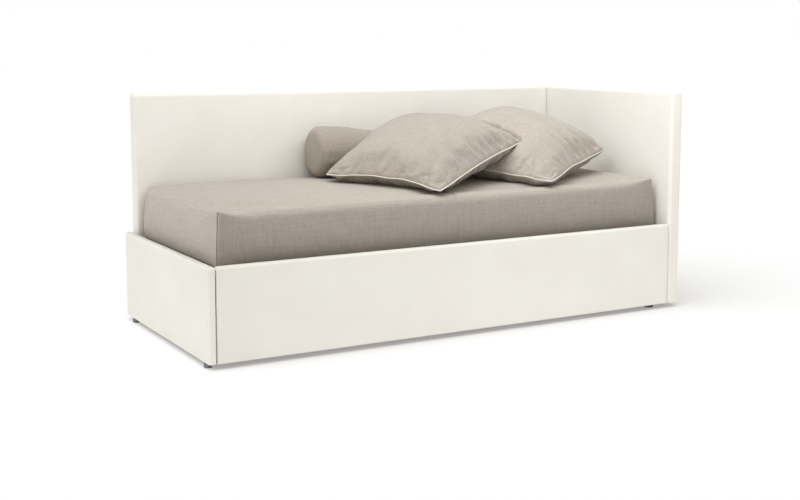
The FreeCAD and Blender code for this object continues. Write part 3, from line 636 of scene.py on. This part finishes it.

# Painted shade: the bolster's linen is a darker copy of the mattress linen.
bolster_painted_shade_linen = slub_linen("taupe_linen_bolster_painted_shade", dark=(0.246, 0.214, 0.174), light=(0.364, 0.325, 0.279),
                           end_painted_light=1.06, side_painted_shade=0.98)
low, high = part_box("bolster")
bolster_middle = Vector(((low.x + high.x) / 2 + BOLSTER_INSET, high.y - BOLSTER_RADIUS - BOLSTER_OFF_BACK,
                         low.z + BOLSTER_RADIUS + BOLSTER_SEAT + BOLSTER_LIFT))
bolster_half = (high.x - low.x) / 2 - BOLSTER_INSET
shell = bmesh.new()
end_lines = []
for k in range(1, END_RINGS):
    end_lines.append((k / END_RINGS * (BOLSTER_RADIUS - BOLSTER_ROUND), 0.0))
for k in range(ROUND_RINGS + 1):
    a = math.pi / 2 * k / ROUND_RINGS
    end_lines.append((BOLSTER_RADIUS - BOLSTER_ROUND + BOLSTER_ROUND * math.sin(a),
                      BOLSTER_ROUND * (1 - math.cos(a))))
lines = []
for radius, inset in end_lines:
    dome = END_DOME * (1 - (radius / BOLSTER_RADIUS) ** 2)
    lines.append((radius, -bolster_half + inset - dome + END_DOME))
first = -bolster_half + BOLSTER_ROUND
for k in range(1, BODY_RINGS):
    lines.append((BOLSTER_RADIUS, first + (bolster_half - BOLSTER_ROUND - first) * k / BODY_RINGS))
lines += [(r, -x) for r, x in reversed(lines[:len(end_lines)])]
rings = []
for radius, x in lines:
    ring = []
    for k in range(AROUND):
        a = 2 * math.pi * k / AROUND
        from_end = bolster_half - abs(x)
        gather = math.exp(-((from_end - GATHER_OFF) / GATHER_REACH) ** 2) * (radius / BOLSTER_RADIUS)
        stray = GATHER_STRAY * noise.noise(Vector((a, x * STRAY_WAVES, 0)))
        r = radius * (1 + GATHER_DEPTH * gather * math.sin(a * END_GATHERS + stray))
        spot = Vector((x, r * math.cos(a), r * math.sin(a)))
        lump = BROAD_LUMP * noise.noise(spot * BROAD_LUMPS + Vector((5, 2, 1)))
        r *= 1 + lump + SMALL_LUMP * noise.noise(spot * SMALL_LUMPS)
        spot = Vector((x, r * math.cos(a) * BOLSTER_FULLNESS, r * math.sin(a) * BOLSTER_FULLNESS))
        spot.z -= BOLSTER_PRESS * smooth(x + bolster_half, *PRESS_REACH) * max(math.sin(a), 0.0)
        spot.z = max(spot.z, -BOLSTER_RADIUS + FLAT_BELOW + FLAT_WAVE * math.sin(a * FLAT_WAVES))
        spot.y = min(spot.y, BOLSTER_RADIUS - FLAT_BEHIND)
        ring.append(shell.verts.new(bolster_middle + spot))
    rings.append(ring)
for here, there in zip(rings, rings[1:]):
    for k in range(AROUND):
        shell.faces.new([here[k], here[(k + 1) % AROUND], there[(k + 1) % AROUND], there[k]])
for ring, x in ((rings[0], -1), (rings[-1], 1)):
    hub = shell.verts.new(bolster_middle + Vector((x * (bolster_half - HUB_SINK), 0, 0)))
    for k in range(AROUND):
        shell.faces.new([ring[k], ring[(k + 1) % AROUND], hub])
bmesh.ops.recalc_face_normals(shell, faces=shell.faces)
bolster = as_object("bolster_cover", shell, [bolster_painted_shade_linen])
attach(bolster, "bolster")
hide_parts("bolster")

# Square cushions
# Two linen cushions, loosely filled with fibre, with ivory piping sewn into a seam that gathers the cloth.
# One, in a darker copy of the linen as painted shade, leans on the bolster and on the other, which
# gives way under it by the headboard.
CUSHION_HALF = 0.299
CUSHION_CELLS = 48
CROWDED, EVEN = 0.55, 0.45
CUSHION_DRAW = 0.030
CORNER_TRIM = 0.030
CROWN_POWER = 2.4
CROWN_FULLNESS = 0.6
FILLING_LUMPS = 0.07
CLOTH_LUMPS = 0.0030
SEAM_WAVE = 0.003
CUSHION_SLACK = -0.03
CUSHION_PRESSURE = 2.0
CUSHION_MOST = 0.008
CUSHION_FILL_FRAMES = 18
CREASES_PER_SIDE = 6
CREASE_SLANT, CREASE_REACH = (-0.5, 0.5), (0.08, 0.22)
CREASE_DEPTH, CREASE_WIDTH = (0.0015, 0.0040), (0.030, 0.050)
PIPING_RADIUS = 0.0027
PIPING_SIDES = 8
CLEARANCE = 0.0012
PRESS_GAP = 0.006
SLOPE_BESIDE, SLOPE_BEHIND = 2.6, 24.0

piping = mottled("ivory_piping", roughness=0.7, stretch=(300, 300, 300), detail=2.0,
                 tones=((0.58, 0.54, 0.46), (0.70, 0.66, 0.58)), depth=0.0004, strength=0.4)


def pillow(cells, top, base, lean, rise, seed):
    """Two square cloths sewn round the rim over a filling: points, places, grid, faces and seam."""
    spots, shares, index, faces = [], [], {}, []

    def spread(k):
        """Where a row stands from -1 to 1, with rows closer together towards the seam."""
        return CROWDED * math.sin(math.pi * (k / cells - 0.5)) + EVEN * (2 * k / cells - 1)

    for layer in (1, -1):
        for i in range(cells + 1):
            for j in range(cells + 1):
                rim = i in (0, cells) or j in (0, cells)
                if rim and layer == -1:
                    index[layer, i, j] = index[1, i, j]
                    continue
                u, w = spread(i), spread(j)
                corner = CUSHION_HALF * (1 - CORNER_TRIM * abs(u * w) ** 12)
                x = u * corner * (1 - CUSHION_DRAW * (1 - w * w))
                y = w * corner * (1 - CUSHION_DRAW * (1 - u * u))
                swell = max(1 - abs(u) ** CROWN_POWER, 0.0) * max(1 - abs(w) ** CROWN_POWER, 0.0)
                swell = swell ** CROWN_FULLNESS * (1 + layer * lean * u)
                swell *= 1 + FILLING_LUMPS * noise.noise(Vector((u * 2, w * 2, seed)))
                wave = SEAM_WAVE * noise.noise(Vector((u * 4, w * 4, seed + 5)))
                height = rise(u, w) + wave * max(abs(u), abs(w)) ** 6
                if not rim:
                    height += top * swell if layer == 1 else -base * swell
                index[layer, i, j] = len(spots)
                spots.append(Vector((x, y, height)))
                shares.append((layer, i / cells, j / cells, u, w))
        for i in range(cells):
            for j in range(cells):
                quad = [index[layer, a, b] for a, b in ((i, j), (i + 1, j), (i + 1, j + 1), (i, j + 1))]
                faces.append(quad if layer == 1 else quad[::-1])
    loop = [index[1, i, 0] for i in range(cells)]
    loop += [index[1, cells, j] for j in range(cells)]
    loop += [index[1, i, cells] for i in range(cells, 0, -1)]
    loop += [index[1, 0, j] for j in range(cells, 0, -1)]
    return spots, shares, index, faces, loop


def settling(name, *shape):
    """How the slack cloth moves as it settles over its filling, held at the seam."""
    spots, _, index, faces, loop = pillow(CUSHION_CELLS, *shape)
    moves = {key: Vector() for key in index}
    mesh = bpy.data.meshes.new(name + "_cut")
    mesh.from_pydata([tuple(s) for s in spots], [], faces)
    work = bpy.data.objects.new(name + "_cut", mesh)
    scene = bpy.context.scene
    scene.collection.objects.link(work)
    seam = work.vertex_groups.new(name="seam")
    seam.add(loop, 1.0, "REPLACE")
    cloth = work.modifiers.new("filling", "CLOTH")
    cloth.settings.quality = 6
    cloth.settings.mass = 0.25
    cloth.settings.tension_stiffness = 20
    cloth.settings.compression_stiffness = 20
    cloth.settings.shear_stiffness = 6
    cloth.settings.bending_stiffness = 0.15
    cloth.settings.shrink_min = CUSHION_SLACK
    cloth.settings.vertex_group_mass = "seam"
    cloth.settings.use_pressure = True
    cloth.settings.uniform_pressure_force = CUSHION_PRESSURE
    cloth.settings.effector_weights.gravity = 0
    cloth.collision_settings.use_collision = False
    cloth.point_cache.frame_start = 1
    cloth.point_cache.frame_end = CUSHION_FILL_FRAMES
    for moment in range(1, CUSHION_FILL_FRAMES + 1):
        scene.frame_set(moment)
    grown = work.evaluated_get(bpy.context.evaluated_depsgraph_get())
    for key, at in index.items():
        move = grown.data.vertices[at].co - spots[at]
        moves[key] = move * min(1.0, CUSHION_MOST / max(move.length, 1e-9))
    bpy.data.objects.remove(work)
    scene.frame_set(1)
    return moves


def between(moves, layer, a, b):
    """The settling at any place on a cloth, from the nearest four."""
    i, j = min(int(a * CUSHION_CELLS), CUSHION_CELLS - 1), min(int(b * CUSHION_CELLS), CUSHION_CELLS - 1)
    p, q = a * CUSHION_CELLS - i, b * CUSHION_CELLS - j
    low = moves[layer, i, j].lerp(moves[layer, i + 1, j], p)
    return low.lerp(moves[layer, i, j + 1].lerp(moves[layer, i + 1, j + 1], p), q)


def gathers(seed, extra):
    """Creases that run in from the seam: side, place, slant, reach, depth and width of each."""
    pick = random.Random(seed)
    folds = list(extra)
    for side in range(4):
        for k in range(CREASES_PER_SIDE):
            place = -0.9 + 1.8 * (k + pick.uniform(0.1, 0.9)) / CREASES_PER_SIDE
            slant, reach = pick.uniform(*CREASE_SLANT), pick.uniform(*CREASE_REACH)
            depth, width = pick.uniform(*CREASE_DEPTH), pick.uniform(*CREASE_WIDTH)
            folds.append((side, place, slant, reach, depth, width))
    return folds


def creased(folds, u, w):
    """How far the creases sink the cloth at a place on it."""
    total = 0.0
    for side, place, slant, reach, depth, width in folds:
        inward, along = ((1 + w, u), (1 - w, u), (1 + u, w), (1 - u, w))[side]
        if inward > 2 * reach:
            continue
        off = abs(along - place - slant * inward) / (width * (1 + 1.8 * inward / reach))
        if off < 3.5:
            run = smooth(inward, 0.0, 0.07) * math.exp(-(inward / reach) ** 2)
            total += depth * run * (math.exp(-off * off) - 0.25 * math.exp(-((off - 1.8) / 0.9) ** 2))
    return total


def piped(name, path):
    """A thin cord sewn round a closed line of points."""
    shell = bmesh.new()
    rings = []
    count = len(path)
    for k in range(count):
        run = (path[(k + 1) % count] - path[k - 1]).normalized()
        side = run.cross(Vector((0, 0, 1))).normalized()
        up = side.cross(run)
        ring = []
        for s in range(PIPING_SIDES):
            a = 2 * math.pi * s / PIPING_SIDES
            ring.append(shell.verts.new(path[k] + PIPING_RADIUS * (side * math.cos(a) + up * math.sin(a))))
        rings.append(ring)
    for k in range(count):
        here, there = rings[k], rings[(k + 1) % count]
        for s in range(PIPING_SIDES):
            following = (s + 1) % PIPING_SIDES
            shell.faces.new([here[s], here[following], there[following], there[s]])
    bmesh.ops.recalc_face_normals(shell, faces=shell.faces)
    return as_object(name, shell, [piping])


def off_neighbours(spot, clear):
    """Moves a point of a cushion out of the bolster, the mattress and the back panel."""
    offset = Vector((0, spot.y - bolster_middle.y, spot.z - bolster_middle.z))
    away = BOLSTER_RADIUS + clear
    if spot.x < bolster_middle.x + bolster_half and offset.length < away:
        spot = spot + offset.normalized() * (away - offset.length)
    return Vector((spot.x, min(spot.y, bed_high.y), max(spot.z, pressed_top(spot.x, spot.y) + clear)))


def laid_cushion(name, body, cloth, place, turn, folds, seed, top, base, lean, rise, over=None):
    """Fills, creases and lays a cushion, presses it on its neighbours and pipes its seam."""
    shape = (top, base, lean, rise, seed)
    moves = settling(name, *shape)
    spots, shares, _, faces, loop = pillow(2 * CUSHION_CELLS, *shape)
    shell = bmesh.new()
    verts = []
    for spot, (layer, a, b, _, _) in zip(spots, shares):
        verts.append(shell.verts.new(spot + between(moves, layer, a, b)))
    for face in faces:
        shell.faces.new([verts[k] for k in face])
    shell.normal_update()
    pose = Matrix.Translation(place) @ Euler([math.radians(a) for a in turn], "XYZ").to_matrix().to_4x4()
    into_own = pose.inverted()
    pressed = []
    for v, (layer, _, _, u, w) in zip(verts, shares):
        inside = 1 - max(abs(u), abs(w)) ** 8
        lump = CLOTH_LUMPS * noise.noise(v.co * 9 + Vector((0, layer, seed))) * inside
        spot = pose @ (v.co + v.normal * (lump - creased(folds, u, layer * w)))
        spot = off_neighbours(spot, CLEARANCE)
        if over:
            spot = off_neighbours(over(spot), CLEARANCE)
        pressed.append(into_own @ spot)
    for v, spot in zip(verts, pressed):
        v.co = spot
    bmesh.ops.recalc_face_normals(shell, faces=shell.faces)
    cushion = as_object(name, shell, [cloth])
    cushion.matrix_world = pose
    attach(cushion, body)
    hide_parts(body)
    seam = [pressed[k] for k in loop]
    trim = piped(name + "_piping", seam)
    trim.matrix_world = pose
    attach(trim, body)
    return pose, into_own, BVHTree.FromPolygons(pressed, faces), seam


def front_rise(u, w):
    """How far the front cushion's seam stands up between its corners."""
    bow = 0.012 * ((1 - w * w) * abs(u) ** 4 + (1 - u * u) * abs(w) ** 4)
    sag = 0.014 * max(-u, 0.0) ** 3 * max(-w, 0.0) ** 3
    slump = 0.026 * math.exp(-((u + 0.72) / 0.34) ** 2 - ((w + 0.62) / 0.42) ** 2)
    return bow - sag - slump + 0.010 * math.exp(-((u - 0.45) / 0.35) ** 2) * max(-w, 0.0) ** 4


def corner_rise(u, w):
    """The same for the corner cushion, which waves along the side by the headboard."""
    sag = 0.014 * (1 - u) * max(-w, 0.0) ** 3
    return 0.009 * math.exp(-((w + 0.25) / 0.3) ** 2) * max(u, 0.0) ** 4 - sag


front_folds = gathers(3, [(3, 0.72, -0.30, 0.24, 0.0080, 0.024), (3, 0.52, -0.25, 0.36, 0.0150, 0.030),
                          (3, 0.34, -0.20, 0.26, 0.0120, 0.026), (3, 0.18, -0.15, 0.18, 0.0080, 0.022),
                          (3, 0.02, -0.10, 0.26, 0.0095, 0.028), (3, -0.40, 0.15, 0.32, 0.0120, 0.030),
                          (3, -0.74, 0.40, 0.42, 0.0120, 0.030), (0, 0.82, -0.35, 0.34, 0.0090, 0.030),
                          (0, 0.40, -0.20, 0.30, 0.0045, 0.034), (0, -0.30, 0.15, 0.34, 0.0045, 0.036)])
# Painted shade: the front cushion's linen is a darker copy of the same linen.
front_painted_shade_linen = slub_linen("taupe_linen_front_painted_shade", dark=(0.274, 0.239, 0.198),
                          light=(0.401, 0.362, 0.314), end_painted_light=1.10, side_painted_shade=0.92)
front_pose, into_front, front_skin, front_seam = laid_cushion(
    "front_cushion_cover", "front_cushion", front_painted_shade_linen, place=Vector((0.0605, -0.0165, 0.6548)),
    turn=(15.5, 4.3, -67.5), folds=front_folds, seed=3.0, top=0.146, base=0.085, lean=0.0, rise=front_rise)


def under_front(spot):
    """Presses a point of the corner cushion down where the front cushion rests on it."""
    at = into_front @ spot
    hit = front_skin.ray_cast(Vector((at.x, at.y, -1.0)), Vector((0, 0, 1)))[0]
    if hit:
        at.z = min(at.z, hit.z - PRESS_GAP)
    else:
        near = min(front_seam, key=lambda s: (s.x - at.x) ** 2 + (s.y - at.y) ** 2)
        apart = math.hypot(near.x - at.x, near.y - at.y)
        steep = SLOPE_BESIDE + SLOPE_BEHIND * smooth(at.y - at.x, -0.02, 0.03)
        at.z = min(at.z, near.z - PRESS_GAP + steep * apart)
    return front_pose @ at


corner_folds = gathers(8, [(3, 0.70, -0.35, 0.50, 0.0200, 0.042), (3, 0.44, -0.30, 0.40, 0.0130, 0.032),
                           (3, 0.24, -0.25, 0.24, 0.0090, 0.024), (3, 0.06, -0.20, 0.38, 0.0160, 0.032),
                           (3, -0.18, -0.10, 0.32, 0.0120, 0.030), (3, -0.46, 0.10, 0.22, 0.0070, 0.026),
                           (3, -0.78, 0.35, 0.36, 0.0050, 0.032), (0, 0.72, -0.30, 0.34, 0.0050, 0.032),
                           (0, 0.15, -0.10, 0.40, 0.0060, 0.034)])
laid_cushion(
    "corner_cushion_cover", "corner_cushion", taupe_linen, place=Vector((0.5380, 0.0022, 0.6554)),
    turn=(9.2, 9.0, -59.5), folds=corner_folds, seed=8.0, top=0.155, base=0.105, lean=-0.15,
    rise=corner_rise, over=under_front)

# Floor, light and camera
# A plain pale floor under broad soft light from above and the left, seen from the open side of the bed
# and a little towards its foot. The floor that is seen lies on one that gives the lamps' light back.
FLOOR_REACH = 60.0
FLOOR_TONE, FLOOR_LIFT = 0.92, 0.30
UNDERFLOOR_TONE, UNDERFLOOR_DEPTH = 0.90, 0.001
KEY_TRAVEL = Vector((0.47, 0.06, -0.88))
SOFT_BOX_AIM = Vector((0.35, 0.35, 0.55))
CAMERA_TURN, CAMERA_TILT = math.radians(29.72), math.radians(6.617)


def pale_floor(name, tone):
    """A dull floor finish of one pale tone."""
    material, nodes, links, shader = plain_material(name, 0.9)
    shader.inputs["Base Color"].default_value = (tone, tone, tone, 1)
    shader.inputs["Specular IOR Level"].default_value = 0.0
    return material, nodes, links, shader


def background_rays(nodes, links):
    """1 for the rays that see the background: from the camera, in a reflection or through glass."""
    rays = nodes.new("ShaderNodeLightPath")
    seen = rays.outputs["Is Camera Ray"]
    for kind in ("Is Glossy Ray", "Is Transmission Ray"):
        either = nodes.new("ShaderNodeMath")
        either.operation = "MAXIMUM"
        links.new(seen, either.inputs[0])
        links.new(rays.outputs[kind], either.inputs[1])
        seen = either.outputs[0]
    return seen


floor_mesh = bmesh.new()
bmesh.ops.create_grid(floor_mesh, x_segments=1, y_segments=1, size=FLOOR_REACH)
floor_material, nodes, links, shader = pale_floor("pale_floor", FLOOR_TONE)
white = nodes.new("ShaderNodeEmission")
white.inputs["Color"].default_value = (1, 1, 1, 1)
lift = nodes.new("ShaderNodeMath")
lift.operation = "MULTIPLY"
lift.inputs[1].default_value = FLOOR_LIFT
links.new(background_rays(nodes, links), lift.inputs[0])
lifted = nodes.new("ShaderNodeMixShader")
links.new(lift.outputs[0], lifted.inputs[0])
links.new(shader.outputs[0], lifted.inputs[1])
links.new(white.outputs[0], lifted.inputs[2])
links.new(lifted.outputs[0], nodes["Material Output"].inputs["Surface"])
floor = as_object("floor", floor_mesh, [floor_material], level=0)
floor.visible_diffuse = False
floor.visible_shadow = False
underfloor = bpy.data.objects.new("underfloor", floor.data.copy())
underfloor.data.materials[0] = pale_floor("pale_underfloor", UNDERFLOOR_TONE)[0]
underfloor.location.z = -UNDERFLOOR_DEPTH
underfloor.visible_camera = False
underfloor.visible_glossy = False
underfloor.visible_transmission = False
bpy.context.scene.collection.objects.link(underfloor)

world = bpy.data.worlds.new("studio")
bpy.context.scene.world = world
world.use_nodes = True
tree = world.node_tree
tree.nodes.clear()
room = tree.nodes.new("ShaderNodeBackground")
room.inputs["Color"].default_value = (1.0, 0.965, 0.905, 1)
room.inputs["Strength"].default_value = 0.62
white = tree.nodes.new("ShaderNodeBackground")
white.inputs["Color"].default_value = (1, 1, 1, 1)
white.inputs["Strength"].default_value = 1.0
either = tree.nodes.new("ShaderNodeMixShader")
tree.links.new(background_rays(tree.nodes, tree.links), either.inputs[0])
tree.links.new(room.outputs[0], either.inputs[1])
tree.links.new(white.outputs[0], either.inputs[2])
sky = tree.nodes.new("ShaderNodeOutputWorld")
tree.links.new(either.outputs[0], sky.inputs["Surface"])

lamp = bpy.data.lights.new("key_light", "SUN")
lamp.energy = 1.83
lamp.color = (0.93, 0.97, 1.03)
lamp.angle = math.radians(60)
key = bpy.data.objects.new("key_light", lamp)
key.rotation_euler = KEY_TRAVEL.to_track_quat("-Z", "Y").to_euler()
bpy.context.scene.collection.objects.link(key)
lamp = bpy.data.lights.new("soft_box", "AREA")
lamp.shape = "RECTANGLE"
lamp.size, lamp.size_y = 2.6, 0.9
lamp.energy = 25.0
lamp.color = (0.94, 0.97, 1.0)
box = bpy.data.objects.new("soft_box", lamp)
box.location = (0.20, -0.75, 2.0)
box.rotation_euler = (SOFT_BOX_AIM - box.location).to_track_quat("-Z", "Y").to_euler()
box.visible_camera = False
off_the_floor = bpy.data.collections.new("off_the_floor")
off_the_floor.objects.link(floor)
off_the_floor.collection_objects[0].light_linking.link_state = "EXCLUDE"
box.light_linking.receiver_collection = off_the_floor
bpy.context.scene.collection.objects.link(box)

lens = bpy.data.cameras.new("camera")
lens.sensor_width = 36.0
lens.lens = 54.73
lens.shift_y = -0.08
lens.clip_end = 200.0
viewer = bpy.data.objects.new("camera", lens)
viewer.location = (-2.5105, -4.3153, 1.1101)
looking = Vector((math.sin(CAMERA_TURN) * math.cos(CAMERA_TILT),
                  math.cos(CAMERA_TURN) * math.cos(CAMERA_TILT), -math.sin(CAMERA_TILT)))
viewer.rotation_euler = looking.to_track_quat("-Z", "Y").to_euler()
bpy.context.scene.collection.objects.link(viewer)
bpy.context.scene.camera = viewer
bpy.context.scene.view_settings.view_transform = "Standard"
